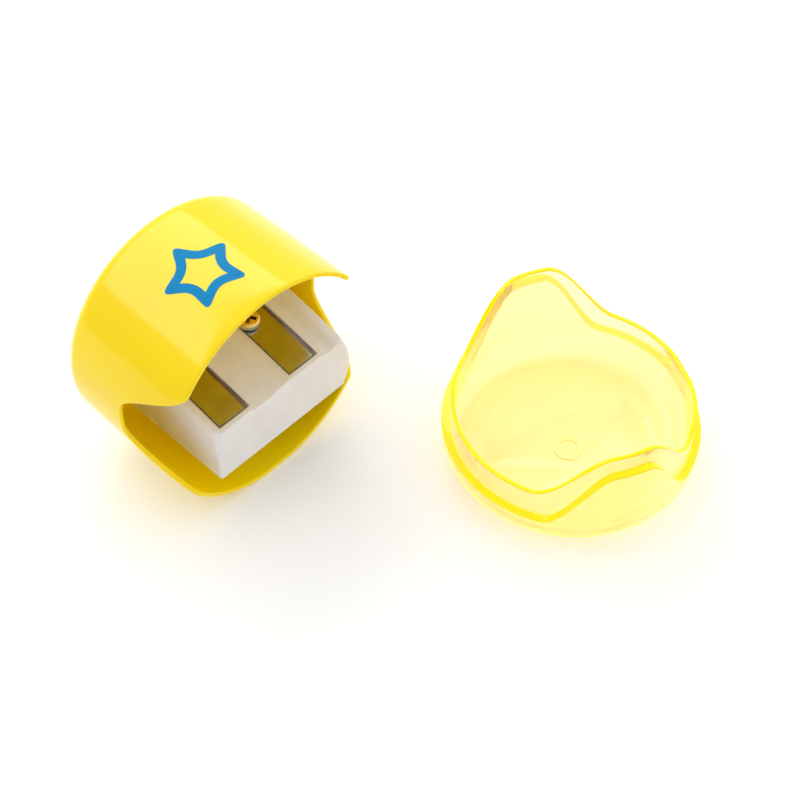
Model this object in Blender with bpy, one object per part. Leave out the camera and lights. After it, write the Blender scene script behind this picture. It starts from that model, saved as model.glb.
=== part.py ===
"""A two-hole pencil sharpener in a round container, lying open with its lid beside it.

The container is a short round shell on its side. Its axis runs along Y, with the mouth facing -Y, and it
stands on a narrow flat foot. The mouth's edge dips back on both sides, and the lid carries two tongues that
fill those dips. The lid lies on its flat end next to the container, mouth up. Lengths are in metres.
"""

import math

import bmesh
import bpy
from mathutils import Matrix, Vector

# Container shell. Depths are measured from its back plane towards the mouth.
OUTER_RADIUS = 0.0250
SHELL_LENGTH = 0.0306
SIDE_DIP = 0.0144
DIP_FLAT_ANGLE = math.radians(7)
DIP_END_ANGLE = math.radians(37)
FOOT_HALF_ANGLE = math.radians(7.5)
BARREL = 0.02
WALL = 0.0009
MOUTH_WALL = 0.0010
BACK_WALL = 0.0015
BACK_FILLET = 0.0030

# Lid. Heights are measured from its flat end.
LID_RADIUS = 0.0254
LID_RIM_HEIGHT = 0.0080
LID_FILLET = 0.0060
LID_FLOOR = 0.0013
LIP_STEP = 0.0015
LIP_HEIGHT = 0.0061
LIP_TONGUE = 0.0121
LIP_FLAT_ANGLE = math.radians(8)
LIP_END_ANGLE = math.radians(44)
LIP_WALL = 0.0009
LID_CENTRE = Vector((0.0441, -0.0522, 0))
LID_TURN = math.radians(64.15)

# Sharpener block. Its deck is the sloping face that carries the blades.
BLOCK_WIDTH = 0.0325
BLOCK_OFFSET = 0.0016
BLOCK_FRONT_DEPTH = 0.0310
BLOCK_BOTTOM = 0.0104
BLOCK_CORNER = 0.0015
BLOCK_BULGE = 0.0020
DECK_FRONT_HEIGHT = 0.0239
DECK_ANGLE = math.radians(10.8)
FIT_GAP = 0.0003

# Pencil bores, straight at the mouth of the hole and then tapering at the deck's own angle.
BORE_TIP_RADIUS = 0.0006
BORE_TIP_DEPTH = 0.0285
BORE_HEIGHT = 0.0231
STATIONS = {
    "standard": {"bore_x": 0.0119, "bore_radius": 0.0041},
    "jumbo": {"bore_x": -0.0057, "bore_radius": 0.0057},
}

# Blades and their screws, in the deck's own frame: y runs up the slope from the block's front edge.
BLADE_LENGTH = 0.0250
BLADE_WIDTH = 0.0072
BLADE_THICKNESS = 0.0006
BLADE_BEVEL = 0.0010
CUTTING_EDGE_THICKNESS = 0.00005
BLADE_FRONT = 0.0012
BLADE_HOLE_RADIUS = 0.0016
SCREW_OFFSET = 0.0053
SCREW_BACK = 0.0133
HEAD_RADIUS = 0.00225
HEAD_TOP_RADIUS = 0.0012
HEAD_HEIGHT = 0.0015
HEAD_CROWN = 0.0007
SHANK_RADIUS = 0.0010
SHANK_LENGTH = 0.0060
SHANK_POINT_RADIUS = 0.0002
SHANK_POINT_LENGTH = 0.0012
RECESS_ARM = 0.0011
RECESS_WIDTH = 0.0005
RECESS_DEPTH = 0.0006
RECESS_TURN = math.radians(35)

# Chip troughs beside the blades' cutting edges.
TROUGH_DEPTH = 0.0006
TROUGH_FLAT_SHARE = 0.4
TROUGH_RISE = 0.0001
TROUGH_OVERLAP = 0.0002
TROUGH_WIDTHS = {"standard": 0.0048, "jumbo": 0.0076}

# Rails under the block, rooted in the shell's wall. They run from one depth to another.
RAIL_X = 0.0065
RAIL_WIDTH = 0.0010
RAIL_BACK = 0.0035
RAIL_FRONT = 0.0230
RAIL_ROOT = 0.0014

SEGMENTS = 96
BLOCK_LEVELS = 8
TROUGH_SEGMENTS = 12
BORE_SEGMENTS = 40
SCREW_SEGMENTS = 24
SHARP_ANGLE = math.radians(35)

# How far a cutter reaches past the face that it cuts.
OVERCUT = 0.0025

SHELL_CENTRE = OUTER_RADIUS * math.cos(FOOT_HALF_ANGLE)
FOOT_SAG = OUTER_RADIUS - SHELL_CENTRE
BACK_Y = SHELL_LENGTH / 2
BLOCK_FRONT_Y = BACK_Y - BLOCK_FRONT_DEPTH

# Turns a body made along -Y so that it runs along -Z.
STAND_UP = Matrix.Rotation(math.pi / 2, 4, "X")


def clear_scene():
    for thing in list(bpy.data.objects):
        bpy.data.objects.remove(thing)


def make_material(name, colour, roughness, metallic=0.0, alpha=1.0):
    material = bpy.data.materials.new(name)
    material.use_nodes = True
    shader = material.node_tree.nodes["Principled BSDF"]
    shader.inputs["Base Color"].default_value = (*colour, 1.0)
    shader.inputs["Roughness"].default_value = roughness
    shader.inputs["Metallic"].default_value = metallic
    shader.inputs["Alpha"].default_value = alpha
    return material


def make_object(name, mesh_data, material=None, parent=None):
    """Turns a bmesh into a named object and frees the bmesh."""
    mesh = bpy.data.meshes.new(name)
    bmesh.ops.recalc_face_normals(mesh_data, faces=mesh_data.faces)
    mesh_data.to_mesh(mesh)
    mesh_data.free()
    mesh.shade_smooth()
    mesh.set_sharp_from_angle(angle=SHARP_ANGLE)
    thing = bpy.data.objects.new(name, mesh)
    bpy.context.scene.collection.objects.link(thing)
    if material:
        mesh.materials.append(material)
    if parent:
        thing.parent = parent
    return thing


def make_empty(name, location=(0, 0, 0), rotation=(0, 0, 0)):
    empty = bpy.data.objects.new(name, None)
    empty.location = location
    empty.rotation_euler = rotation
    bpy.context.scene.collection.objects.link(empty)
    return empty


def cut(thing, cutter, operation="DIFFERENCE"):
    """Cuts one object with another, or joins them, and keeps the second as a hidden helper."""
    cutter.hide_render = True
    cutter.display_type = "WIRE"
    modifier = thing.modifiers.new(cutter.name, "BOOLEAN")
    modifier.operation = operation
    modifier.solver = "EXACT"
    modifier.object = cutter


def smooth_step(share):
    share = min(1.0, max(0.0, share))
    return share * share * (3 - 2 * share)


def side_share(angle, flat_angle, end_angle):
    """1 at the two sides of the shell, within the flat angle, and 0 beyond the end angle."""
    from_side = math.atan2(abs(math.sin(angle)), abs(math.cos(angle)))
    return 1 - smooth_step((from_side - flat_angle) / (end_angle - flat_angle))


def mouth_depth(angle):
    """How deep the shell reaches from its back plane at this angle: less at the sides than elsewhere."""
    return SHELL_LENGTH - SIDE_DIP * side_share(angle, DIP_FLAT_ANGLE, DIP_END_ANGLE)


def flattened(angle, radius, full_radius):
    """How far a circle reaches at this angle, cut off flat along the foot, where the angle is -90 degrees.

    The full radius is the one at the mouth. It sets how far the flat lies from the axis.
    """
    off_foot = abs(math.remainder(angle + math.pi / 2, 2 * math.pi))
    if off_foot > 2 * FOOT_HALF_ANGLE:
        return radius
    return min(radius, (full_radius - FOOT_SAG) / math.cos(off_foot))


def ring_angles():
    return [2 * math.pi * i / SEGMENTS for i in range(SEGMENTS)]


def loft(rings):
    """A closed body through rings with the same number of points. The first and last ring are capped."""
    body = bmesh.new()
    rows = [[body.verts.new(point) for point in ring] for ring in rings]
    count = len(rows[0])
    for lower, upper in zip(rows, rows[1:]):
        for i in range(count):
            j = (i + 1) % count
            body.faces.new((lower[i], lower[j], upper[j], upper[i]))
    body.faces.new(rows[0])
    body.faces.new(list(reversed(rows[-1])))
    return body


def arc_steps(count):
    return [math.pi / 2 * i / count for i in range(count + 1)]


def outer_radius(depth):
    """The shell is a little slimmer towards its back."""
    return OUTER_RADIUS * (1 - BARREL * ((SHELL_LENGTH - depth) / SHELL_LENGTH) ** 2)


def inner_radius(depth):
    return min(OUTER_RADIUS - MOUTH_WALL, outer_radius(depth) - WALL)


def shell_ring(radius_at, share_of_mouth=None, depth=None, inset=0.0):
    """A ring around the shell, at one depth or at a share of the way from the back fillet to the mouth."""
    full_radius = radius_at(SHELL_LENGTH)
    ring = []
    for angle in ring_angles():
        here = depth
        if share_of_mouth is not None:
            here = BACK_FILLET + (mouth_depth(angle) - BACK_FILLET) * share_of_mouth
        reach = flattened(angle, radius_at(here) - inset, full_radius)
        ring.append((reach * math.cos(angle), BACK_Y - here, SHELL_CENTRE + reach * math.sin(angle)))
    return ring


def make_housing(material, parent):
    rings = []
    for turn in arc_steps(4):
        rings.append(shell_ring(
            outer_radius,
            depth=BACK_FILLET * (1 - math.cos(turn)),
            inset=BACK_FILLET * (1 - math.sin(turn)),
        ))
    shares = [0.33, 0.67, 1.0]
    rings += [shell_ring(outer_radius, share_of_mouth=share) for share in shares]
    rings += [shell_ring(inner_radius, share_of_mouth=share) for share in reversed(shares)]
    inner_fillet = BACK_FILLET - BACK_WALL
    for turn in reversed(arc_steps(3)):
        rings.append(shell_ring(
            inner_radius,
            depth=BACK_WALL + inner_fillet * (1 - math.cos(turn)),
            inset=inner_fillet * (1 - math.sin(turn)),
        ))
    housing = make_object("housing", loft(rings), material, parent)
    for side in (-1, 1):
        cut(housing, make_rail(side), "UNION")
    for name, station in STATIONS.items():
        radius = station["bore_radius"] + FIT_GAP
        hole = make_turned(f"housing_hole_{name}", [(radius, -OVERCUT), (radius, BACK_WALL + OVERCUT)])
        hole.location = (station["bore_x"], BACK_Y, BORE_HEIGHT)
        cut(housing, hole)
    return housing


def make_box(name, low, high):
    box = bmesh.new()
    bmesh.ops.create_cube(box, size=1)
    size = [b - a for a, b in zip(low, high)]
    middle = [(a + b) / 2 for a, b in zip(low, high)]
    bmesh.ops.scale(box, vec=size, verts=box.verts)
    bmesh.ops.translate(box, vec=middle, verts=box.verts)
    return make_object(name, box)


def make_rail(side):
    """One of the two rails that carry the block, rooted in the shell's wall."""
    x = side * RAIL_X
    return make_box(
        "rail_left" if side < 0 else "rail_right",
        (x - RAIL_WIDTH / 2, BACK_Y - RAIL_FRONT, RAIL_ROOT),
        (x + RAIL_WIDTH / 2, BACK_Y - RAIL_BACK, BLOCK_BOTTOM - FIT_GAP),
    )


def make_turned(name, profile, segments=BORE_SEGMENTS):
    """A body turned about an axis that runs from its origin along -Y. The profile holds (radius, distance)."""
    rings = []
    for radius, distance in profile:
        ring = []
        for i in range(segments):
            angle = 2 * math.pi * (i + 0.5) / segments
            ring.append((radius * math.cos(angle), -distance, radius * math.sin(angle)))
        rings.append(ring)
    return make_object(name, loft(rings))


def make_deck_frame():
    """The deck's frame: its origin in the middle of the block's top front edge, y up the slope, z off it."""
    origin = Vector((BLOCK_OFFSET, BLOCK_FRONT_Y, DECK_FRONT_HEIGHT))
    return Matrix.Translation(origin) @ Matrix.Rotation(DECK_ANGLE, 4, "X")


def block_outline(height):
    """The block from above at one height, with its two front corners rounded.

    The right side bulges out, most of all halfway up the front.
    """
    from_middle = 2 * (height - BLOCK_BOTTOM) / (DECK_FRONT_HEIGHT - BLOCK_BOTTOM) - 1
    bulge = BLOCK_BULGE * max(0.0, 1 - from_middle * from_middle)
    left = BLOCK_OFFSET - BLOCK_WIDTH / 2
    right = BLOCK_OFFSET + BLOCK_WIDTH / 2 + bulge
    back = BACK_Y - BACK_WALL - FIT_GAP
    outline = [(right, back), (left, back)]
    corners = (
        (left + BLOCK_CORNER, math.pi),
        (right - BLOCK_CORNER, 1.5 * math.pi),
    )
    for centre_x, first_angle in corners:
        for turn in arc_steps(4):
            angle = first_angle + turn
            outline.append((
                centre_x + BLOCK_CORNER * math.cos(angle),
                BLOCK_FRONT_Y + BLOCK_CORNER + BLOCK_CORNER * math.sin(angle),
            ))
    return outline


def make_block(material, parent, deck):
    top = DECK_FRONT_HEIGHT + BLOCK_FRONT_DEPTH * math.tan(DECK_ANGLE)
    front_height = DECK_FRONT_HEIGHT - BLOCK_BOTTOM
    heights = [BLOCK_BOTTOM + front_height * i / BLOCK_LEVELS for i in range(BLOCK_LEVELS + 1)] + [top]
    body = loft([[(x, y, z) for x, y in block_outline(z)] for z in heights])
    everything = body.verts[:] + body.edges[:] + body.faces[:]
    result = bmesh.ops.bisect_plane(
        body,
        geom=everything,
        plane_co=deck.translation,
        plane_no=deck.to_3x3() @ Vector((0, 0, 1)),
        clear_outer=True,
    )
    open_edges = [item for item in result["geom_cut"] if isinstance(item, bmesh.types.BMEdge)]
    bmesh.ops.contextual_create(body, geom=open_edges)
    block = make_object("sharpener_block", body, material, parent)
    for name, station in STATIONS.items():
        cut(block, make_bore(name, station))
        cut(block, make_blade_seat(name, station, deck))
        cut(block, make_trough(name, station, deck))
        cut(block, make_pilot_hole(name, station, deck))
    return block


def make_bore(name, station):
    """The room that a pencil enters: straight first, then a cone that ends behind the block's front wall."""
    radius = station["bore_radius"]
    cone_start = BORE_TIP_DEPTH - (radius - BORE_TIP_RADIUS) / math.tan(DECK_ANGLE)
    profile = [(radius, -OVERCUT)]
    if cone_start > 0:
        profile.append((radius, cone_start))
    profile.append((BORE_TIP_RADIUS, BORE_TIP_DEPTH))
    bore = make_turned(f"bore_{name}", profile)
    bore.location = (station["bore_x"], BACK_Y, BORE_HEIGHT)
    return bore


def edge_x(station):
    """Where the blade's cutting edge runs, in the deck's frame: right above the bore's axis."""
    return station["bore_x"] - BLOCK_OFFSET


def make_blade_seat(name, station, deck):
    edge = edge_x(station)
    seat = make_box(
        f"seat_{name}",
        (edge - BLADE_WIDTH - FIT_GAP, BLADE_FRONT - FIT_GAP, -BLADE_THICKNESS - FIT_GAP),
        (edge + FIT_GAP, BLADE_FRONT + BLADE_LENGTH + FIT_GAP, OVERCUT),
    )
    seat.matrix_world = deck
    return seat


def make_trough(name, station, deck):
    """A shallow channel beside the cutting edge, where the shavings curl away. It is open at the front.

    Its floor is flat next to the blade and then rises in a smooth curve to just above the deck.
    """
    start = edge_x(station) + FIT_GAP - TROUGH_OVERLAP
    section = []
    for i in range(TROUGH_SEGMENTS + 1):
        share = i / TROUGH_SEGMENTS
        climbed = smooth_step((share - TROUGH_FLAT_SHARE) / (1 - TROUGH_FLAT_SHARE))
        section.append((
            start + TROUGH_WIDTHS[name] * share,
            (TROUGH_DEPTH + TROUGH_RISE) * climbed - TROUGH_DEPTH,
        ))
    section.append((section[-1][0], OVERCUT))
    section.append((section[0][0], OVERCUT))
    rings = [[(x, y, z) for x, z in section] for y in (-OVERCUT, BLOCK_FRONT_DEPTH + OVERCUT)]
    trough = make_object(f"trough_{name}", loft(rings))
    trough.matrix_world = deck
    return trough


def screw_place(station, deck, height=0.0):
    return deck @ Vector((edge_x(station) - SCREW_OFFSET, BLADE_FRONT + SCREW_BACK, height))


def make_pilot_hole(name, station, deck):
    radius = SHANK_RADIUS + FIT_GAP
    profile = [(radius, -OVERCUT), (radius, SHANK_LENGTH + FIT_GAP)]
    hole = make_turned(f"pilot_{name}", profile, SCREW_SEGMENTS)
    hole.matrix_world = Matrix.Translation(screw_place(station, deck)) @ deck.to_3x3().to_4x4() @ STAND_UP
    return hole


def make_blade(name, station, material, parent, deck):
    """A flat blade with one ground edge, on the side where x is highest, and a hole for its screw."""
    edge = edge_x(station)
    back = edge - BLADE_WIDTH
    section = [
        (back, -BLADE_THICKNESS),
        (edge, -BLADE_THICKNESS),
        (edge, -BLADE_THICKNESS + CUTTING_EDGE_THICKNESS),
        (edge - BLADE_BEVEL, 0),
        (back, 0),
    ]
    ends = (BLADE_FRONT, BLADE_FRONT + BLADE_LENGTH)
    rings = [[(x, y, z) for x, z in section] for y in ends]
    blade = make_object(f"blade_{name}", loft(rings), material, parent)
    blade.matrix_world = deck
    profile = [(BLADE_HOLE_RADIUS, -OVERCUT), (BLADE_HOLE_RADIUS, OVERCUT)]
    hole = make_turned(f"blade_hole_{name}", profile, SCREW_SEGMENTS)
    hole.matrix_world = Matrix.Translation(screw_place(station, deck)) @ deck.to_3x3().to_4x4() @ STAND_UP
    cut(blade, hole)
    return blade


def make_screw(name, station, material, parent, deck):
    """A pan head screw with a cross recess. The head stands just clear of the blade."""
    profile = []
    for turn in arc_steps(3):
        profile.append((
            HEAD_TOP_RADIUS + (HEAD_RADIUS - HEAD_TOP_RADIUS) * math.sin(turn),
            HEAD_CROWN * (1 - math.cos(turn)),
        ))
    tip = HEAD_HEIGHT + SHANK_LENGTH
    profile += [
        (HEAD_RADIUS, HEAD_HEIGHT),
        (SHANK_RADIUS, HEAD_HEIGHT),
        (SHANK_RADIUS, tip - SHANK_POINT_LENGTH),
        (SHANK_POINT_RADIUS, tip),
    ]
    screw = make_turned(f"screw_{name}", profile, SCREW_SEGMENTS)
    screw.data.materials.append(material)
    screw.parent = parent
    top = screw_place(station, deck, HEAD_HEIGHT + FIT_GAP)
    place = Matrix.Translation(top) @ deck.to_3x3().to_4x4()
    screw.matrix_world = place @ STAND_UP
    for index, (x, y) in enumerate(((RECESS_ARM, RECESS_WIDTH / 2), (RECESS_WIDTH / 2, RECESS_ARM))):
        arm = make_box(f"recess_{name}_{index}", (-x, -y, -RECESS_DEPTH), (x, y, OVERCUT))
        arm.matrix_world = place @ Matrix.Rotation(RECESS_TURN, 4, "Z")
        cut(screw, arm)
    return screw


def lid_ring(radius, height_at):
    ring = []
    for angle in ring_angles():
        reach = flattened(angle, radius, min(radius, OUTER_RADIUS))
        ring.append((reach * math.cos(angle), reach * math.sin(angle), height_at(angle)))
    return ring


def lid_rim(angle):
    """The lid's outer rim, which follows the shell's mouth."""
    return LID_RIM_HEIGHT + SHELL_LENGTH - mouth_depth(angle)


def lip_top(angle):
    """The top of the lid's lip, which also rises to two tongues."""
    tongue = LIP_TONGUE * side_share(angle, LIP_FLAT_ANGLE, LIP_END_ANGLE)
    return LID_RIM_HEIGHT + LIP_HEIGHT + tongue


def make_lid(material, parent):
    rings = []
    for turn in arc_steps(6):
        radius = LID_RADIUS - LID_FILLET * (1 - math.sin(turn))
        height = LID_FILLET * (1 - math.cos(turn))
        rings.append(lid_ring(radius, lambda angle, height=height: height))
    lip_radius = LID_RADIUS - LIP_STEP
    inside = lip_radius - LIP_WALL
    rings.append(lid_ring(LID_RADIUS, lid_rim))
    rings.append(lid_ring(lip_radius, lid_rim))
    rings.append(lid_ring(lip_radius, lip_top))
    rings.append(lid_ring(inside, lip_top))
    fillet = LID_FILLET - LID_FLOOR
    for turn in reversed(arc_steps(5)):
        radius = inside - fillet * (1 - math.sin(turn))
        height = LID_FLOOR + fillet * (1 - math.cos(turn))
        rings.append(lid_ring(radius, lambda angle, height=height: height))
    return make_object("lid", loft(rings), material, parent)


def main():
    clear_scene()
    yellow = make_material("housing_yellow", (0.93, 0.70, 0.01), 0.18)
    white = make_material("block_white", (0.78, 0.76, 0.74), 0.35)
    steel = make_material("blade_steel", (0.62, 0.60, 0.55), 0.25, metallic=1.0)
    screw_steel = make_material("screw_steel", (0.70, 0.62, 0.45), 0.30, metallic=1.0)
    clear_yellow = make_material("lid_clear_yellow", (0.97, 0.88, 0.25), 0.12, alpha=0.45)
    sharpener = make_empty("sharpener_frame")
    lid_axis = make_empty("lid_axis", LID_CENTRE, (0, 0, LID_TURN))
    deck = make_deck_frame()
    make_housing(yellow, sharpener)
    make_block(white, sharpener, deck)
    for name, station in STATIONS.items():
        make_blade(name, station, steel, sharpener, deck)
        make_screw(name, station, screw_steel, sharpener, deck)
    make_lid(clear_yellow, lid_axis)


main()
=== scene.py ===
"""A two-hole pencil sharpener in a round yellow container, with its clear lid lying beside it.

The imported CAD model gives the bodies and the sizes. Each CAD piece is replaced here by a finer one of
the same size in the same place. Lengths are in metres.
"""

import math

import bmesh
import bpy
from mathutils import Matrix, Vector, noise


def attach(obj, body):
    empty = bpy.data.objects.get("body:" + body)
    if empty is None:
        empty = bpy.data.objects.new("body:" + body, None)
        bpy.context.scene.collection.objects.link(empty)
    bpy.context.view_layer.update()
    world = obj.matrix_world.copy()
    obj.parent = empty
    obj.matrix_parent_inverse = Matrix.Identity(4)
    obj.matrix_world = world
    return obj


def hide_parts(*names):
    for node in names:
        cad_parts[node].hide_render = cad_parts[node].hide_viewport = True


# Container shell. Depths are measured from its back plane towards the mouth.
OUTER_RADIUS = 0.0250
SHELL_LENGTH = 0.0306
SIDE_DIP = 0.0144
DIP_FLAT_ANGLE = math.radians(7)
DIP_END_ANGLE = math.radians(37)
FOOT_HALF_ANGLE = math.radians(7.5)
BARREL = 0.02
WALL = 0.0009
MOUTH_WALL = 0.0010
MOUTH_ROUNDING = 0.00035
BACK_WALL = 0.0015
BACK_FILLET = 0.0030
HOLE_CHAMFER = 0.0004
RAIL_X = 0.0065
RAIL_WIDTH = 0.0010
RAIL_DEPTH = 0.0230
RAIL_BACK = 0.0035
RAIL_ROOT = 0.0014

# Lid. Heights are measured from its flat end.
LID_RADIUS = 0.0254
LID_RIM_HEIGHT = 0.0080
LID_FILLET = 0.0060
LID_FLOOR = 0.0013
LIP_STEP = 0.0015
LIP_HEIGHT = 0.0061
LIP_TONGUE = 0.0121
LIP_FLAT_ANGLE = math.radians(8)
LIP_END_ANGLE = math.radians(44)
LIP_WALL = 0.0009
LIP_ROUNDING = 0.0003
LIP_ROOT_ROUNDING = 0.00015
LID_CENTRE = Vector((0.0441, -0.0522, 0))
LID_TURN = math.radians(64.15)
GATE_PLACE = (-0.0021, 0.0009)
EJECTOR_PLACES = ((-0.0004, 0.0163), (-0.0002, -0.0145))
EJECTOR_RADIUS = 0.00275
EJECTOR_SLOPE = 0.00015
CAVITY_MARK_PLACE = (-0.0013, -0.0042)
CAVITY_MARK_RADIUS = 0.0012
CAVITY_MARK_SLOPE = 0.0002
MARK_DEPTH = 0.00012
GATE_RADIUS = 0.0024
GATE_HALF_WIDTH = 0.0006
GATE_HEIGHT = 0.00045
GATE_ROOT = 0.0004

# Sharpener block and what sits on its sloping deck. Lengths on the deck run along its slope.
BLOCK_WIDTH = 0.0325
BLOCK_OFFSET = 0.0016
BLOCK_FRONT_DEPTH = 0.0310
BLOCK_BOTTOM = 0.0104
BLOCK_CORNER = 0.0015
BLOCK_FOOT_CORNER = 0.00045
BLOCK_EDGE = 0.0007
BLOCK_BULGE = 0.0020
BLOCK_LEVELS = 24
DECK_FRONT_HEIGHT = 0.0239
DECK_ANGLE = math.radians(10.8)
FIT_GAP = 0.0003
BORE_TIP_RADIUS = 0.0006
BORE_TIP_DEPTH = 0.0285
BORE_HEIGHT = 0.0231
STATIONS = {
    "standard": {"bore_x": 0.0119, "bore_radius": 0.0041, "trough": 0.0048},
    "jumbo": {"bore_x": -0.0057, "bore_radius": 0.0057, "trough": 0.0076},
}
BORE_CUT_EDGE = 0.00012
TROUGH_DEPTH = 0.0006
TROUGH_FLAT_SHARE = 0.4
TROUGH_RISE = 0.0001
TROUGH_START = 0.0001
BLADE_LENGTH = 0.0250
BLADE_WIDTH = 0.0072
BLADE_THICKNESS = 0.0006
BLADE_BEVEL = 0.0010
CUTTING_EDGE_THICKNESS = 0.00005
BLADE_ROUNDING = 0.00004
BLADE_FRONT = 0.0012
BLADE_HOLE_RADIUS = 0.0016
LINE_START = 0.0010
LINE_END = 0.0042
LINE_BACK = 0.0020
LINE_WIDTH = 0.00014
LINE_DEPTH = 0.00003
SCREW_OFFSET = 0.0053
SCREW_BACK = 0.0133
HEAD_RADIUS = 0.00225
HEAD_TOP_RADIUS = 0.0012
HEAD_FLAT_SHARE = 0.8
HEAD_CAP_RADIUS = 0.0005
HEAD_TOP_DROP = 0.00003
HEAD_HEIGHT = 0.0015
HEAD_CROWN = 0.0007
HEAD_EDGE = 0.0001
RECESS_ARM = 0.00145
RECESS_HALF_WIDTH = 0.00036
RECESS_DEPTH = 0.0011
RECESS_TURN = math.radians(35)
RECESS_ZONE_START = 0.0001
RECESS_ZONE_END = 0.0013
RECESS_ZONE_RADIUS = 0.0015
SHANK_RADIUS = 0.0010
SHANK_LENGTH = 0.0060
SHANK_POINT_LENGTH = 0.0012
SHANK_POINT_RADIUS = 0.0002
THREAD_TURNS = 9
THREAD_ROOT_SHARE = 0.8
THREAD_START = 0.0002
THREAD_END = 0.0014
SCREW_ROUNDING = 0.00005

# Printed star on top of the container: a line of ink laid on the barrel.
STAR_ANGLE = math.radians(98)
STAR_DEPTH = 0.0175
STAR_POINT_RADIUS = 0.0084
STAR_NOTCH_RADIUS = 0.0046
STAR_LINE = 0.0019
STAR_CORNER_SHARE = 0.30
INK_HEIGHT = 0.00003

SEGMENTS = 288
SHELL_CENTRE = OUTER_RADIUS * math.cos(FOOT_HALF_ANGLE)
FOOT_SAG = OUTER_RADIUS - SHELL_CENTRE
BACK_Y = SHELL_LENGTH / 2
BLOCK_FRONT_Y = BACK_Y - BLOCK_FRONT_DEPTH
STAND_UP = Matrix.Rotation(math.pi / 2, 4, "X")
OVERCUT = 0.0025
TOLERANCE = 0.00001

# A white studio that is dimmer on the left front, in units of the paper's white.
SKY_TOWARDS = (0.55, 0.25, 0.80)
SKY_SPAN = (-0.6, 0.7)
SKY_LOW = 0.45
SKY_HIGH = 1.05
SOFTBOX_PLACE = (0.0, 0.34, 0.40)
SOFTBOX_AIM = (0.0, 0.34, 0.0)
SOFTBOX_SIZE = (0.92, 0.26)
SOFTBOX_POWER = 2.0
FLOOR_SIZE = 3.0
FLOOR_DROP = 0.00005

# Camera.
CAMERA_AZIMUTH = math.radians(-46.97)
CAMERA_ELEVATION = math.radians(52.03)
CAMERA_DISTANCE = 0.36101
CAMERA_TARGET = Vector((0.02848, -0.02089, 0.0))
CAMERA_ROLL = math.radians(1.16)
CAMERA_LENS = 80.13


# ---------------------------------------------------------------- shapes

def smooth_step(share):
    share = min(1.0, max(0.0, share))
    return share * share * (3 - 2 * share)


def side_share(angle, flat_angle, end_angle):
    """1 at the two sides of the shell, within the flat angle, and 0 beyond the end angle."""
    from_side = math.atan2(abs(math.sin(angle)), abs(math.cos(angle)))
    return 1 - smooth_step((from_side - flat_angle) / (end_angle - flat_angle))


def mouth_depth(angle):
    """How deep the shell reaches from its back plane at this angle: less at the sides than elsewhere."""
    return SHELL_LENGTH - SIDE_DIP * side_share(angle, DIP_FLAT_ANGLE, DIP_END_ANGLE)


def flattened(angle, radius, full_radius):
    """How far a circle reaches at this angle, cut off flat along the foot, where the angle is -90 degrees."""
    off_foot = abs(math.remainder(angle + math.pi / 2, 2 * math.pi))
    if off_foot > 2 * FOOT_HALF_ANGLE:
        return radius
    return min(radius, (full_radius - FOOT_SAG) / math.cos(off_foot))


def ring_angles():
    return [2 * math.pi * i / SEGMENTS for i in range(SEGMENTS)]


def arc_steps(count):
    return [math.pi / 2 * i / count for i in range(count + 1)]


def quarter_round(turn, radius):
    """How far a quarter round has left its one face and has yet to go to the other, at this turn."""
    return radius * (1 - math.cos(turn)), radius * (1 - math.sin(turn))


def loft(rings):
    """A closed body through rings with the same number of points. The first and last ring are capped."""
    body = bmesh.new()
    rows = [[body.verts.new(point) for point in ring] for ring in rings]
    count = len(rows[0])
    for lower, upper in zip(rows, rows[1:]):
        for i in range(count):
            j = (i + 1) % count
            body.faces.new((lower[i], lower[j], upper[j], upper[i]))
    body.faces.new(rows[0])
    body.faces.new(list(reversed(rows[-1])))
    return body


def make_object(name, body, sharp=32):
    """Turns a bmesh into an object, smooth but for its sharp edges, and frees the bmesh."""
    bmesh.ops.recalc_face_normals(body, faces=body.faces)
    mesh = bpy.data.meshes.new(name)
    body.to_mesh(mesh)
    body.free()
    mesh.shade_smooth()
    mesh.set_sharp_from_angle(angle=math.radians(sharp))
    thing = bpy.data.objects.new(name, mesh)
    bpy.context.scene.collection.objects.link(thing)
    return thing


def make_box(name, low, high):
    body = bmesh.new()
    bmesh.ops.create_cube(body, size=1)
    bmesh.ops.scale(body, vec=[b - a for a, b in zip(low, high)], verts=body.verts)
    bmesh.ops.translate(body, vec=[(a + b) / 2 for a, b in zip(low, high)], verts=body.verts)
    return make_object(name, body)


def make_turned(name, profile, segments=96, sharp=32):
    """A body turned about an axis from its origin along -Y. The profile holds (radius, distance)."""
    rings = []
    for radius, distance in profile:
        ring = []
        for i in range(segments):
            angle = 2 * math.pi * (i + 0.5) / segments
            ring.append((radius * math.cos(angle), -distance, radius * math.sin(angle)))
        rings.append(ring)
    return make_object(name, loft(rings), sharp)


def apply_modifiers(thing):
    """Bakes the modifiers into the mesh."""
    graph = bpy.context.evaluated_depsgraph_get()
    graph.update()
    mesh = bpy.data.meshes.new_from_object(thing.evaluated_get(graph))
    thing.modifiers.clear()
    thing.data = mesh


def cut(thing, cutters, operation="DIFFERENCE"):
    """Cuts one object with others, or joins them to it, and removes the others."""
    for cutter in cutters:
        modifier = thing.modifiers.new(cutter.name, "BOOLEAN")
        modifier.operation = operation
        modifier.solver = "EXACT"
        modifier.object = cutter
    bpy.context.view_layer.update()
    apply_modifiers(thing)
    for cutter in cutters:
        bpy.data.objects.remove(cutter)


def soften(thing, width, segments=2, angle=35):
    """Rounds every edge that is sharper than the angle."""
    modifier = thing.modifiers.new("Bevel", "BEVEL")
    modifier.width = width
    modifier.segments = segments
    modifier.limit_method = "ANGLE"
    modifier.angle_limit = math.radians(angle)
    modifier.miter_outer = "MITER_ARC"
    modifier.use_clamp_overlap = True
    modifier.harden_normals = True
    bpy.context.view_layer.update()
    apply_modifiers(thing)


# ---------------------------------------------------------------- container

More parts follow.
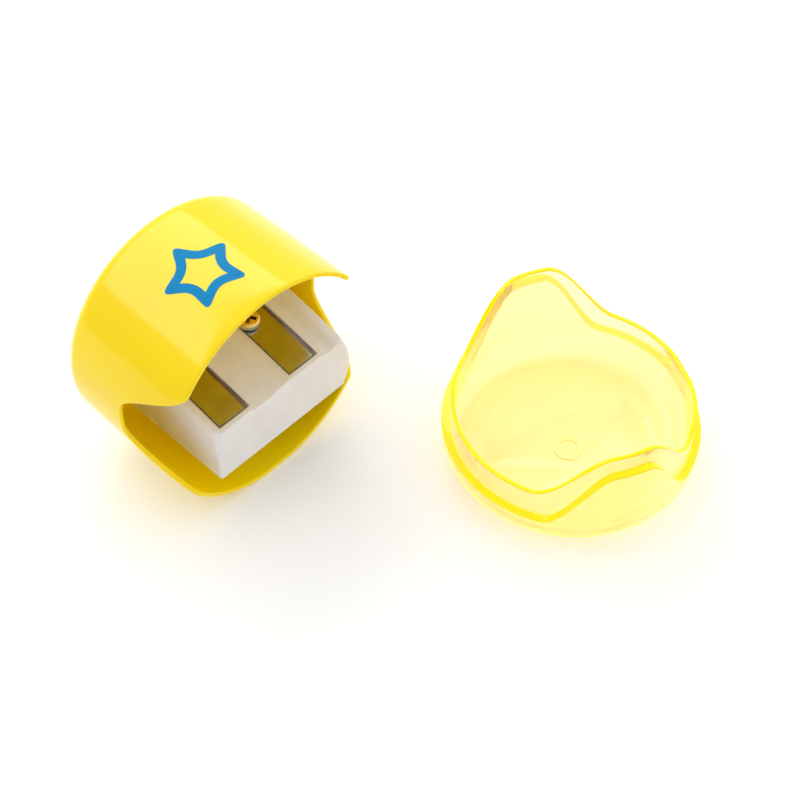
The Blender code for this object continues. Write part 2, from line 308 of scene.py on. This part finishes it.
def outer_radius(depth):
    """The shell is a little slimmer towards its back."""
    return OUTER_RADIUS * (1 - BARREL * ((SHELL_LENGTH - depth) / SHELL_LENGTH) ** 2)


def inner_radius(depth):
    return min(OUTER_RADIUS - MOUTH_WALL, outer_radius(depth) - WALL)


def shell_point(angle, radius, depth, full_radius):
    reach = flattened(angle, radius, full_radius)
    return (reach * math.cos(angle), BACK_Y - depth, SHELL_CENTRE + reach * math.sin(angle))


def back_ring(radius_at, depth, inset):
    return [shell_point(a, radius_at(depth) - inset, depth, radius_at(SHELL_LENGTH)) for a in ring_angles()]


def side_ring(radius_at, share, short=0.0, inset=0.0):
    """A ring at a share of the way from the back fillet to the mouth, that much short of it."""
    ring = []
    for angle in ring_angles():
        depth = BACK_FILLET + (mouth_depth(angle) - short - BACK_FILLET) * share
        full = radius_at(SHELL_LENGTH) - inset
        ring.append(shell_point(angle, radius_at(depth) - inset, depth, full))
    return ring


def make_shell():
    rings = []
    for turn in arc_steps(12):
        depth, inset = quarter_round(turn, BACK_FILLET)
        rings.append(back_ring(outer_radius, depth, inset))
    shares = [i / 14 for i in range(1, 15)]
    rings += [side_ring(outer_radius, share, MOUTH_ROUNDING) for share in shares]
    for turn in arc_steps(5)[1:]:
        inset, short = quarter_round(turn, MOUTH_ROUNDING)
        rings.append(side_ring(outer_radius, 1, short, inset))
    for turn in reversed(arc_steps(5)):
        inset, short = quarter_round(turn, MOUTH_ROUNDING)
        rings.append(side_ring(inner_radius, 1, short, -inset))
    rings += [side_ring(inner_radius, share, MOUTH_ROUNDING) for share in reversed(shares[:-1])]
    fillet = BACK_FILLET - BACK_WALL
    for turn in reversed(arc_steps(8)):
        depth, inset = quarter_round(turn, fillet)
        rings.append(back_ring(inner_radius, BACK_WALL + depth, inset))
    shell = make_object("housing_shell", loft(rings))
    rails = []
    for side in (-1, 1):
        x = side * RAIL_X
        rails.append(make_box(
            f"rail_{side}",
            (x - RAIL_WIDTH / 2, BACK_Y - RAIL_DEPTH, RAIL_ROOT),
            (x + RAIL_WIDTH / 2, BACK_Y - RAIL_BACK, BLOCK_BOTTOM - FIT_GAP),
        ))
    cut(shell, rails, "UNION")
    holes = []
    for name, station in STATIONS.items():
        radius = station["bore_radius"] + FIT_GAP
        profile = [
            (radius + HOLE_CHAMFER + OVERCUT, -OVERCUT),
            (radius + HOLE_CHAMFER, 0),
            (radius, HOLE_CHAMFER),
            (radius, BACK_WALL + OVERCUT),
        ]
        hole = make_turned(f"hole_{name}", profile)
        hole.location = (station["bore_x"], BACK_Y, BORE_HEIGHT)
        holes.append(hole)
    cut(shell, holes)
    shell.data.set_sharp_from_angle(angle=math.radians(28))
    return shell


# ---------------------------------------------------------------- printed star

def star_outline(point_radius, notch_radius, rounding, steps=10):
    """A five-pointed star with rounded points and notches, its first point up."""
    corners = []
    for i in range(10):
        radius = point_radius if i % 2 == 0 else notch_radius
        angle = math.pi / 2 + math.pi * i / 5
        corners.append(Vector((radius * math.cos(angle), radius * math.sin(angle))))
    outline = []
    for i, corner in enumerate(corners):
        before = corner.lerp(corners[i - 1], rounding)
        after = corner.lerp(corners[(i + 1) % 10], rounding)
        for k in range(steps):
            t = k / (steps - 1)
            outline.append(before * (1 - t) ** 2 + corner * 2 * t * (1 - t) + after * t * t)
        beyond = corners[(i + 1) % 10].lerp(corner, rounding)
        for k in range(1, 6):
            outline.append(after.lerp(beyond, k / 6))
    return outline


def make_star():
    """A thin layer of ink on the barrel, in the outline of a star."""
    outer = star_outline(STAR_POINT_RADIUS, STAR_NOTCH_RADIUS, STAR_CORNER_SHARE)
    normals = []
    count = len(outer)
    for i in range(count):
        along = (outer[(i + 1) % count] - outer[i - 1]).normalized()
        normals.append(Vector((-along.y, along.x)))
    body = bmesh.new()
    rows = []
    across = 6
    for height in (-INK_HEIGHT, INK_HEIGHT):
        for k in range(across + 1):
            row = []
            for point, normal in zip(outer, normals):
                flat = point + normal * STAR_LINE * k / across
                depth = STAR_DEPTH - flat.y
                angle = STAR_ANGLE - flat.x / OUTER_RADIUS
                reach = outer_radius(depth) + height
                row.append(body.verts.new((
                    reach * math.cos(angle), BACK_Y - depth, SHELL_CENTRE + reach * math.sin(angle),
                )))
            rows.append(row)
    lower, upper = rows[:across + 1], rows[across + 1:]
    loop = lower + list(reversed(upper))
    for a, b in zip(loop, loop[1:] + loop[:1]):
        for i in range(count):
            j = (i + 1) % count
            body.faces.new((a[i], a[j], b[j], b[i]))
    return make_object("housing_print", body, 60)


# ---------------------------------------------------------------- block, blades and screws

def make_deck_frame():
    """The deck's frame: its origin in the middle of the block's top front edge, y up the slope, z off it."""
    origin = Vector((BLOCK_OFFSET, BLOCK_FRONT_Y, DECK_FRONT_HEIGHT))
    return Matrix.Translation(origin) @ Matrix.Rotation(DECK_ANGLE, 4, "X")


def block_outline(height):
    """The block from above at one height, with its two front corners rounded, less so near the foot.

    The right side bulges out, most of all halfway up the front.
    """
    share = smooth_step((height - BLOCK_BOTTOM) / (DECK_FRONT_HEIGHT - BLOCK_BOTTOM))
    corner = BLOCK_FOOT_CORNER + (BLOCK_CORNER - BLOCK_FOOT_CORNER) * share
    from_middle = 2 * (height - BLOCK_BOTTOM) / (DECK_FRONT_HEIGHT - BLOCK_BOTTOM) - 1
    bulge = BLOCK_BULGE * max(0.0, 1 - from_middle * from_middle)
    left = BLOCK_OFFSET - BLOCK_WIDTH / 2
    right = BLOCK_OFFSET + BLOCK_WIDTH / 2 + bulge
    back = BACK_Y - BACK_WALL - FIT_GAP
    outline = [(right, back), (left, back)]
    for centre_x, first_angle in ((left + corner, math.pi), (right - corner, 1.5 * math.pi)):
        for turn in arc_steps(10):
            angle = first_angle + turn
            outline.append((
                centre_x + corner * math.cos(angle),
                BLOCK_FRONT_Y + corner + corner * math.sin(angle),
            ))
    return outline


def edge_x(station):
    """Where the blade's cutting edge runs, in the deck's frame: right above the bore's axis."""
    return station["bore_x"] - BLOCK_OFFSET


def make_trough(name, station, deck, steps=40):
    """A shallow channel beside the cutting edge, open at the front, that rises smoothly to the deck."""
    start = edge_x(station) + TROUGH_START
    section = []
    for i in range(steps + 1):
        share = i / steps
        climbed = smooth_step((share - TROUGH_FLAT_SHARE) / (1 - TROUGH_FLAT_SHARE))
        depth = TROUGH_DEPTH - (TROUGH_DEPTH + TROUGH_RISE) * climbed
        section.append((start + station["trough"] * share, -depth))
    section.append((section[-1][0], OVERCUT))
    section.append((section[0][0], OVERCUT))
    ends = (-OVERCUT, BLOCK_FRONT_DEPTH + OVERCUT)
    trough = make_object(f"trough_{name}", loft([[(x, y, z) for x, z in section] for y in ends]))
    trough.matrix_world = deck
    return trough


def screw_place(station, deck, height=0.0):
    return deck @ Vector((edge_x(station) - SCREW_OFFSET, BLADE_FRONT + SCREW_BACK, height))


def upright_at(place, deck):
    """Puts a turned body's origin at the place, with its axis square to the deck."""
    return Matrix.Translation(place) @ deck.to_3x3().to_4x4() @ STAND_UP


def make_block(deck):
    top = DECK_FRONT_HEIGHT + BLOCK_FRONT_DEPTH * math.tan(DECK_ANGLE)
    step = (DECK_FRONT_HEIGHT - BLOCK_BOTTOM) / BLOCK_LEVELS
    heights = [BLOCK_BOTTOM + step * i for i in range(BLOCK_LEVELS + 1)]
    heights = [BLOCK_BOTTOM - OVERCUT, *heights, top]
    body = loft([[(x, y, z) for x, y in block_outline(z)] for z in heights])
    result = bmesh.ops.bisect_plane(
        body,
        geom=body.verts[:] + body.edges[:] + body.faces[:],
        plane_co=deck.translation,
        plane_no=deck.to_3x3() @ Vector((0, 0, 1)),
        clear_outer=True,
    )
    rim = [item for item in result["geom_cut"] if isinstance(item, bmesh.types.BMEdge)]
    bmesh.ops.contextual_create(body, geom=rim)
    bmesh.ops.recalc_face_normals(body, faces=body.faces)
    block = make_object("sharpener_block_body", body)
    troughs = [make_trough(name, station, deck) for name, station in STATIONS.items()]
    bpy.context.view_layer.update()
    cut(block, troughs)
    soften(block, BLOCK_EDGE, 6, 50)
    reach = BLOCK_WIDTH + BLOCK_FRONT_DEPTH
    cutters = [make_box("below", (-reach, -reach, BLOCK_BOTTOM - 2 * OVERCUT), (reach, reach, BLOCK_BOTTOM))]
    for name, station in STATIONS.items():
        edge = edge_x(station)
        radius = station["bore_radius"]
        cone_start = BORE_TIP_DEPTH - (radius - BORE_TIP_RADIUS) / math.tan(DECK_ANGLE)
        bore = make_turned(f"bore_{name}", [
            (radius, -OVERCUT), (radius, cone_start), (BORE_TIP_RADIUS, BORE_TIP_DEPTH),
        ])
        bore.location = (station["bore_x"], BACK_Y, BORE_HEIGHT)
        seat = make_box(
            f"seat_{name}",
            (edge - BLADE_WIDTH - FIT_GAP, BLADE_FRONT - FIT_GAP, -BLADE_THICKNESS - FIT_GAP),
            (edge + FIT_GAP, BLADE_FRONT + BLADE_LENGTH + FIT_GAP, OVERCUT),
        )
        seat.matrix_world = deck
        pilot = make_turned(f"pilot_{name}", [
            (SHANK_RADIUS + FIT_GAP, -OVERCUT), (SHANK_RADIUS + FIT_GAP, SHANK_LENGTH + FIT_GAP),
        ], 32)
        pilot.matrix_world = upright_at(screw_place(station, deck), deck)
        cutters += [bore, seat, pilot]
    bpy.context.view_layer.update()
    cut(block, cutters)
    soften(block, BORE_CUT_EDGE, 2, 38)
    return block


def make_blade(name, station, deck):
    """A flat blade with one ground edge, on the side where x is highest, and a hole for its screw."""
    edge = edge_x(station)
    back = edge - BLADE_WIDTH
    section = [
        (back, -BLADE_THICKNESS),
        (edge, -BLADE_THICKNESS),
        (edge, -BLADE_THICKNESS + CUTTING_EDGE_THICKNESS),
        (edge - BLADE_BEVEL, 0),
        (back, 0),
    ]
    ends = (BLADE_FRONT, BLADE_FRONT + BLADE_LENGTH)
    blade = make_object(f"blade_{name}_body", loft([[(x, y, z) for x, z in section] for y in ends]), 20)
    blade.matrix_world = deck
    hole = make_turned(f"hole_{name}", [(BLADE_HOLE_RADIUS, -OVERCUT), (BLADE_HOLE_RADIUS, OVERCUT)], 48)
    hole.matrix_world = upright_at(screw_place(station, deck), deck)
    line = make_box(
        f"line_{name}",
        (back + LINE_START, BLADE_FRONT + LINE_BACK, -LINE_DEPTH),
        (back + LINE_END, BLADE_FRONT + LINE_BACK + LINE_WIDTH, OVERCUT),
    )
    line.matrix_world = deck
    bpy.context.view_layer.update()
    cut(blade, [hole])
    soften(blade, BLADE_ROUNDING, 2, 20)
    cut(blade, [line])
    blade.data.set_sharp_from_angle(angle=math.radians(20))
    # The ground bevel's top faces get the dark brown steel, painted darker than the blade's face.
    for face in blade.data.polygons:
        face.material_index = 1 if face.center.x > edge - BLADE_BEVEL and face.normal.z > 0 else 0
    return blade


def make_screw(name, station, deck):
    """A pan head screw with a cross recess and a thread."""
    profile = [(HEAD_CAP_RADIUS, 0.0), (HEAD_TOP_RADIUS * HEAD_FLAT_SHARE, 0.0)]
    for turn in arc_steps(8):
        profile.append((
            HEAD_TOP_RADIUS + (HEAD_RADIUS - HEAD_TOP_RADIUS) * math.sin(turn),
            HEAD_TOP_DROP + HEAD_CROWN * (1 - math.cos(turn)),
        ))
    tip = HEAD_HEIGHT + SHANK_LENGTH
    profile += [
        (HEAD_RADIUS, HEAD_HEIGHT - HEAD_EDGE),
        (HEAD_RADIUS - HEAD_EDGE, HEAD_HEIGHT),
        (SHANK_RADIUS, HEAD_HEIGHT),
    ]
    pitch = (SHANK_LENGTH - THREAD_START - THREAD_END) / THREAD_TURNS
    for i in range(THREAD_TURNS):
        start = HEAD_HEIGHT + THREAD_START + pitch * i
        profile += [(SHANK_RADIUS, start), (SHANK_RADIUS * THREAD_ROOT_SHARE, start + pitch / 2)]
    profile += [(SHANK_RADIUS, tip - SHANK_POINT_LENGTH), (SHANK_POINT_RADIUS, tip)]
    screw = make_turned(f"screw_{name}_body", profile, 64)
    place = Matrix.Translation(screw_place(station, deck, HEAD_HEIGHT + FIT_GAP)) @ deck.to_3x3().to_4x4()
    screw.matrix_world = place @ STAND_UP
    arms = []
    for index, (x, y) in enumerate(((RECESS_ARM, RECESS_HALF_WIDTH), (RECESS_HALF_WIDTH, RECESS_ARM))):
        arm = make_box(f"recess_{index}", (-x, -y, -RECESS_DEPTH), (x, y, OVERCUT))
        arm.matrix_world = place @ Matrix.Rotation(RECESS_TURN, 4, "Z")
        arms.append(arm)
    bpy.context.view_layer.update()
    cut(screw, arms)
    soften(screw, SCREW_ROUNDING, 2, 40)
    # The faces in the cross recess get the dark brown steel: painted shade.
    for face in screw.data.polygons:
        face.material_index = screw_zone(-face.center.y, math.hypot(face.center.x, face.center.z))
    return screw


def screw_zone(depth, radius):
    """The number of the material of a face on the screw: its top, its side and shank, or its recess, which is
    painted dark as painted shade.
    """
    in_recess = RECESS_ZONE_START < depth < RECESS_ZONE_END and radius < RECESS_ZONE_RADIUS
    if in_recess:
        return 2
    return 1 if depth > HEAD_CROWN else 0


# ---------------------------------------------------------------- lid

def lid_ring(radius, height_at):
    ring = []
    for angle in ring_angles():
        reach = flattened(angle, radius, min(radius, OUTER_RADIUS))
        ring.append((reach * math.cos(angle), reach * math.sin(angle), height_at(angle)))
    return ring


def lid_rim(angle):
    """The lid's outer rim, which follows the shell's mouth."""
    return LID_RIM_HEIGHT + SHELL_LENGTH - mouth_depth(angle)


def rim_plus(extra):
    return lambda angle: lid_rim(angle) + extra


def lip_top_plus(extra, share=1.0):
    """The height of the lip's top, which also rises to two tongues, or of a level on the way up to it."""
    def height(angle):
        tongue = LIP_TONGUE * side_share(angle, LIP_FLAT_ANGLE, LIP_END_ANGLE)
        top = LID_RIM_HEIGHT + LIP_HEIGHT + tongue + extra
        return LID_FILLET + (top - LID_FILLET) * share
    return height


def on_lid_edge(point):
    """Whether a point lies on the top of the lip or on the step beside it, where light collects."""
    angle = math.atan2(point.y, point.x)
    radius = math.hypot(point.x, point.y)
    on_lip = point.z > lip_top_plus(-LIP_ROUNDING)(angle)
    on_step = point.z > lid_rim(angle) - LIP_ROUNDING and radius > LID_RADIUS - LIP_STEP + TOLERANCE
    return on_lip or on_step


def same_height(height):
    """The same height all round, as the lid's rings take it."""
    return lambda angle: height


def wall_up(share):
    """A level on the lid's outer wall, between its fillet and its rim."""
    return lambda angle: LID_FILLET + (lid_rim(angle) - LIP_ROUNDING - LID_FILLET) * share


def make_lid():
    rings = []
    for turn in arc_steps(14):
        height, inset = quarter_round(turn, LID_FILLET)
        rings.append(lid_ring(LID_RADIUS - inset, same_height(height)))
    rings += [lid_ring(LID_RADIUS, wall_up(share)) for share in (0.25, 0.5, 0.75)]
    for turn in arc_steps(4):
        inset, short = quarter_round(turn, LIP_ROUNDING)
        rings.append(lid_ring(LID_RADIUS - inset, rim_plus(-short)))
    lip_radius = LID_RADIUS - LIP_STEP
    for turn in arc_steps(3):
        rise, off_lip = quarter_round(turn, LIP_ROOT_ROUNDING)
        rings.append(lid_ring(lip_radius + off_lip, rim_plus(rise)))
    inside = lip_radius - LIP_WALL
    for turn in arc_steps(5):
        inset, short = quarter_round(turn, LIP_ROUNDING)
        rings.append(lid_ring(lip_radius - inset, lip_top_plus(-short)))
    for turn in reversed(arc_steps(5)):
        inset, short = quarter_round(turn, LIP_ROUNDING)
        rings.append(lid_ring(inside + inset, lip_top_plus(-short)))
    rings += [lid_ring(inside, lip_top_plus(-LIP_ROUNDING, share)) for share in (0.75, 0.5, 0.25)]
    for turn in reversed(arc_steps(14)):
        height, inset = quarter_round(turn, LID_FILLET - LID_FLOOR)
        rings.append(lid_ring(inside - inset, same_height(LID_FLOOR + height)))
    lid = make_object("lid_shell", loft(rings))
    marks = []
    for index, place in enumerate(EJECTOR_PLACES):
        marks.append(make_mark(f"ejector_{index}", place, EJECTOR_RADIUS, EJECTOR_SLOPE))
    marks.append(make_mark("cavity_mark", CAVITY_MARK_PLACE, CAVITY_MARK_RADIUS, CAVITY_MARK_SLOPE))
    bpy.context.view_layer.update()
    cut(lid, marks)
    cut(lid, [make_gate_ring()], "UNION")
    lid.data.set_sharp_from_angle(angle=math.radians(40))
    for face in lid.data.polygons:
        face.material_index = 1 if on_lid_edge(face.center) else 0
    lid.data.transform(Matrix.Translation(LID_CENTRE) @ Matrix.Rotation(LID_TURN, 4, "Z"))
    return lid


def make_mark(name, place, radius, slope):
    """A cutter for a faint round mark that the mould leaves on the lid's inner floor."""
    mark = make_turned(name, [(radius, -OVERCUT), (radius, 0.0), (radius - slope, MARK_DEPTH)])
    mark.matrix_world = Matrix.Translation((*place, LID_FLOOR)) @ STAND_UP
    return mark


def make_gate_ring():
    """The raised ring around the point where the plastic was fed in, on the lid's inner floor."""
    body = bmesh.new()
    section = []
    for i in range(13):
        angle = math.pi * i / 12
        section.append((GATE_RADIUS - GATE_HALF_WIDTH * math.cos(angle), GATE_HEIGHT * math.sin(angle)))
    section += [(GATE_RADIUS + GATE_HALF_WIDTH, -GATE_ROOT), (GATE_RADIUS - GATE_HALF_WIDTH, -GATE_ROOT)]
    count = 96
    centre = Vector((*GATE_PLACE, LID_FLOOR))
    rows = []
    for i in range(count):
        turn = 2 * math.pi * i / count
        rows.append([
            body.verts.new(centre + Vector((radius * math.cos(turn), radius * math.sin(turn), height)))
            for radius, height in section
        ])
    for a, b in zip(rows, rows[1:] + rows[:1]):
        for i in range(len(section)):
            j = (i + 1) % len(section)
            body.faces.new((a[i], a[j], b[j], b[i]))
    return make_object("gate_ring", body)


# ---------------------------------------------------------------- materials

class Nodes:
    """A material's node tree, with short calls for adding and linking nodes."""

    def __init__(self, name):
        self.material = bpy.data.materials.new(name)
        self.material.use_nodes = True
        self.tree = self.material.node_tree
        self.shader = self.tree.nodes["Principled BSDF"]
        self.place = self.add("ShaderNodeTexCoord").outputs["Object"]

    def add(self, kind, inputs=None, **settings):
        node = self.tree.nodes.new(kind)
        for key, value in settings.items():
            setattr(node, key, value)
        for key, value in (inputs or {}).items():
            if isinstance(value, bpy.types.NodeSocket):
                self.tree.links.new(value, node.inputs[key])
            else:
                node.inputs[key].default_value = value
        return node

    def set(self, **values):
        """Values on the shader's own sockets, or links into them. Underscores stand for blanks."""
        for key, value in values.items():
            socket = self.shader.inputs[key.replace("_", " ")]
            if isinstance(value, bpy.types.NodeSocket):
                self.tree.links.new(value, socket)
            else:
                socket.default_value = value

    def noise(self, scale, detail=3.0, stretch=None, roughness=0.5):
        where = self.place
        if stretch:
            where = self.add("ShaderNodeMapping", {"Vector": where, "Scale": stretch}).outputs["Vector"]
        node = self.add("ShaderNodeTexNoise", {
            "Vector": where, "Scale": scale, "Detail": detail, "Roughness": roughness,
        })
        return node.outputs["Fac"]

    def ramp(self, value, low, high, start, end):
        """The value's range from start to end, stretched over low to high."""
        node = self.add("ShaderNodeMapRange", {
            "Value": value, "From Min": start, "From Max": end, "To Min": low, "To Max": high,
        })
        return node.outputs["Result"]

    def blend(self, share, first, second):
        node = self.add("ShaderNodeMix", data_type="RGBA")
        colours = [socket for socket in node.inputs if socket.type == "RGBA"]
        self.tree.links.new(share, node.inputs["Factor"])
        for socket, colour in zip(colours, (first, second)):
            if isinstance(colour, bpy.types.NodeSocket):
                self.tree.links.new(colour, socket)
            else:
                socket.default_value = (*colour, 1)
        return next(socket for socket in node.outputs if socket.type == "RGBA")

    def bump(self, height, distance, strength=1.0, normal=None):
        inputs = {"Height": height, "Distance": distance, "Strength": strength}
        if normal:
            inputs["Normal"] = normal
        return self.add("ShaderNodeBump", inputs).outputs["Normal"]


def yellow_plastic():
    """Glossy moulded plastic with faint flow marks and a very slight orange peel.

    The small glow stands for the light that comes through the thin wall.
    """
    m = Nodes("housing_yellow")
    flow = m.noise(60, 4, (1, 0.35, 1))
    colour = m.blend(m.ramp(flow, 0, 1, 0.35, 0.65), (0.790, 0.585, 0.000), (0.825, 0.630, 0.001))
    smear = m.noise(900, 3)
    peel = m.noise(420, 2)
    m.set(
        Base_Color=colour,
        Roughness=m.ramp(smear, 0.10, 0.16, 0.3, 0.7),
        Normal=m.bump(peel, 0.000006, 0.35),
        IOR=1.5,
        Subsurface_Weight=0.5,
        Subsurface_Radius=(1.0, 0.55, 0.02),
        Subsurface_Scale=0.0015,
        Specular_IOR_Level=0.35,
        Emission_Color=(1.0, 0.80, 0.0, 1),
        Emission_Strength=0.085,
    )
    return m.material


def blue_ink():
    """Pad-printed ink, a little thin in places."""
    m = Nodes("print_blue")
    thin = m.noise(2600, 4)
    colour = m.blend(m.ramp(thin, 0, 1, 0.25, 0.75), (0.0, 0.195, 0.435), (0.0, 0.230, 0.485))
    m.set(
        Base_Color=colour,
        Roughness=m.ramp(m.noise(1500, 2), 0.22, 0.32, 0.3, 0.7),
        Normal=m.bump(thin, 0.000004, 0.4),
        Specular_IOR_Level=0.08,
    )
    return m.material


def white_plastic():
    """Satin off-white plastic with soft sink marks and a fine moulded grain."""
    m = Nodes("block_white")
    cloud = m.noise(160, 3)
    colour = m.blend(m.ramp(cloud, 0, 1, 0.3, 0.7), (0.75, 0.725, 0.715), (0.81, 0.785, 0.775))
    grain = m.noise(5200, 3)
    sink = m.noise(210, 1)
    coarse = m.bump(sink, 0.00006, 0.5)
    m.set(
        Base_Color=colour,
        Roughness=m.ramp(grain, 0.34, 0.46, 0.3, 0.7),
        Normal=m.bump(grain, 0.000008, 0.5, coarse),
        Subsurface_Weight=0.15,
        Subsurface_Radius=(1.0, 0.9, 0.85),
        Subsurface_Scale=0.0008,
    )
    return m.material


def steel(name, low, high, roughness, stretch):
    """Ground steel: fine lines along one direction."""
    m = Nodes(name)
    lines = m.noise(5200, 4, stretch, 0.6)
    broad = m.noise(240, 3)
    colour = m.blend(m.ramp(broad, 0, 1, 0.3, 0.7), low, high)
    m.set(
        Base_Color=colour,
        Metallic=1.0,
        Roughness=m.ramp(lines, roughness - 0.05, roughness + 0.08, 0.3, 0.7),
        Normal=m.bump(lines, 0.000004, 0.5),
    )
    return m.material


def clear_plastic(name, surface, clearness, glow):
    """Tinted see-through plastic. It is a little milky, and its tint deepens where it is seen along the wall.

    The glow stands for the light that the plastic gathers and lets out again, mostly at its edges.
    """
    m = Nodes(name)
    ripple = m.noise(130, 2)
    smear = m.noise(700, 3)
    grazing = m.add("ShaderNodeLayerWeight", {"Blend": 0.5}).outputs["Facing"]
    tint = m.blend(m.ramp(grazing, 0, 1, 0.55, 0.90), surface, (1.0, 0.80, 0.0))
    m.set(
        Base_Color=tint,
        Roughness=m.ramp(smear, 0.02, 0.06, 0.3, 0.7),
        IOR=1.42,
        Transmission_Weight=m.ramp(grazing, clearness, clearness * 0.3, 0.55, 0.90),
        Normal=m.bump(ripple, 0.00003, 0.2),
        Emission_Color=tint,
        Emission_Strength=m.ramp(grazing, glow, glow + 0.30, 0.55, 0.90),
    )
    absorb = m.add("ShaderNodeVolumeAbsorption")
    absorb.inputs["Color"].default_value = (1.0, 0.92, 0.0, 1)
    absorb.inputs["Density"].default_value = 150
    out = m.tree.nodes["Material Output"]
    m.tree.links.new(absorb.outputs["Volume"], out.inputs["Volume"])
    return m.material


def floor_paper():
    """Matt white paper, a little overexposed."""
    m = Nodes("floor_white")
    grain = m.noise(900, 2)
    colour = m.blend(grain, (0.88, 0.88, 0.885), (0.90, 0.90, 0.905))
    m.set(
        Base_Color=colour,
        Roughness=0.9,
        Specular_IOR_Level=0.2,
        Emission_Color=(1.0, 1.0, 1.0, 1),
        Emission_Strength=0.07,
    )
    return m.material


# ---------------------------------------------------------------- floor, lights and camera

def make_floor():
    body = bmesh.new()
    bmesh.ops.create_grid(body, x_segments=8, y_segments=8, size=FLOOR_SIZE)
    floor = make_object("floor", body)
    floor.location = (0, 0, -FLOOR_DROP)
    floor.data.materials.append(floor_paper())


def make_softbox():
    light = bpy.data.lights.new("softbox_above", "AREA")
    light.shape = "RECTANGLE"
    light.size, light.size_y = SOFTBOX_SIZE
    light.energy = SOFTBOX_POWER
    thing = bpy.data.objects.new("softbox_above", light)
    thing.location = SOFTBOX_PLACE
    direction = Vector(SOFTBOX_AIM) - Vector(SOFTBOX_PLACE)
    thing.rotation_euler = direction.to_track_quat("-Z", "Y").to_euler()
    bpy.context.scene.collection.objects.link(thing)


def make_sky():
    world = bpy.data.worlds.new("studio")
    world.use_nodes = True
    background = world.node_tree.nodes["Background"]
    background.inputs["Color"].default_value = (1.0, 1.0, 1.0, 1)
    tree = world.node_tree
    where = tree.nodes.new("ShaderNodeTexCoord")
    dot = tree.nodes.new("ShaderNodeVectorMath")
    dot.operation = "DOT_PRODUCT"
    dot.inputs[1].default_value = Vector(SKY_TOWARDS).normalized()
    tree.links.new(where.outputs["Generated"], dot.inputs[0])
    span = tree.nodes.new("ShaderNodeMapRange")
    span.interpolation_type = "SMOOTHSTEP"
    span.inputs["From Min"].default_value = SKY_SPAN[0]
    span.inputs["From Max"].default_value = SKY_SPAN[1]
    span.inputs["To Min"].default_value = SKY_LOW
    span.inputs["To Max"].default_value = SKY_HIGH
    tree.links.new(dot.outputs["Value"], span.inputs["Value"])
    tree.links.new(span.outputs["Result"], background.inputs["Strength"])
    bpy.context.scene.world = world


def make_camera():
    back = Vector((
        math.sin(CAMERA_AZIMUTH) * math.cos(CAMERA_ELEVATION),
        -math.cos(CAMERA_AZIMUTH) * math.cos(CAMERA_ELEVATION),
        math.sin(CAMERA_ELEVATION),
    ))
    level = Vector((math.cos(CAMERA_AZIMUTH), math.sin(CAMERA_AZIMUTH), 0))
    lift = back.cross(level)
    right = math.cos(CAMERA_ROLL) * level + math.sin(CAMERA_ROLL) * lift
    up = back.cross(right)
    data = bpy.data.cameras.new("camera")
    data.sensor_width = 36
    data.lens = CAMERA_LENS
    data.clip_start = 0.01
    data.clip_end = 10
    camera = bpy.data.objects.new("camera", data)
    camera.matrix_world = Matrix.Translation(CAMERA_TARGET + back * CAMERA_DISTANCE) @ Matrix(
        (right, up, back)
    ).transposed().to_4x4()
    bpy.context.scene.collection.objects.link(camera)
    bpy.context.scene.camera = camera


def finish_piece(thing, materials, body, slot, *nodes):
    """Gives a piece its materials, in the order of its faces' numbers, and hands it to the frame."""
    numbers = [min(face.material_index, len(materials) - 1) for face in thing.data.polygons]
    thing.data.materials.clear()
    for material in materials:
        thing.data.materials.append(material)
    thing.data.polygons.foreach_set("material_index", numbers)
    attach(thing, body)
    if nodes:
        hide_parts(*nodes)


def set_light_paths():
    """Plain colours, and enough bounces for light to find its way through the lid's walls."""
    scene = bpy.context.scene
    scene.view_settings.view_transform = "Standard"
    scene.view_settings.look = "None"
    scene.cycles.blur_glossy = 0
    scene.cycles.max_bounces = 24
    scene.cycles.transmission_bounces = 24
    scene.cycles.glossy_bounces = 12
    scene.cycles.diffuse_bounces = 6


def main():
    set_light_paths()
    deck = make_deck_frame()
    blade_steel = steel("blade_steel", (0.37, 0.36, 0.27), (0.43, 0.42, 0.32), 0.20, (1, 0.04, 1))
    # Dark brown steel: painted shade in the screws' cross recesses, and a darker colour on the blades' ground
    # bevels.
    dark_bevel_and_recess_shade = steel("dark_bevel_and_recess_shade", (0.16, 0.12, 0.09), (0.22, 0.17, 0.13), 0.35, (0.04, 1, 1))
    gilt = steel("screw_gilt", (0.80, 0.56, 0.16), (0.90, 0.66, 0.24), 0.22, (1, 1, 1))
    bright_steel = steel("screw_side", (0.60, 0.58, 0.60), (0.72, 0.70, 0.72), 0.25, (1, 1, 0.1))
    lid_clear = clear_plastic("lid_clear_yellow", (1.0, 0.935, 0.72), 0.9, 0.03)
    # The lip's top and the step beside it get a deeper yellow with more glow: partly the plastic's own tint
    # seen along the wall, partly painted light gathered at the edges.
    lid_edge = clear_plastic("lid_edge_yellow", (1.0, 0.80, 0.0), 0.25, 0.10)
    finish_piece(make_shell(), [yellow_plastic()], "sharpener", "housing", "housing")
    finish_piece(make_star(), [blue_ink()], "sharpener", None)
    finish_piece(make_block(deck), [white_plastic()], "sharpener", "block", "sharpener_block")
    for name, station in STATIONS.items():
        blade = make_blade(name, station, deck)
        finish_piece(blade, [blade_steel, dark_bevel_and_recess_shade], "sharpener", "blade", f"blade_{name}")
        screw = make_screw(name, station, deck)
        finish_piece(screw, [gilt, bright_steel, dark_bevel_and_recess_shade], "sharpener", "screw", f"screw_{name}")
    finish_piece(make_lid(), [lid_clear, lid_edge], "lid", "lid", "lid")
    make_floor()
    make_sky()
    make_softbox()
    make_camera()


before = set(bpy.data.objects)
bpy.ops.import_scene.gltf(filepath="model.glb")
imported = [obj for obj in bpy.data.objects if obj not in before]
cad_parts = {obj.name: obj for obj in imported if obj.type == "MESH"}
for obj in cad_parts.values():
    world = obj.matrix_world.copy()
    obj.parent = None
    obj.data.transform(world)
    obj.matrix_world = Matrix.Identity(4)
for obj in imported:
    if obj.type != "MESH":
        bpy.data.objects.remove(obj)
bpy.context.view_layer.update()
main()
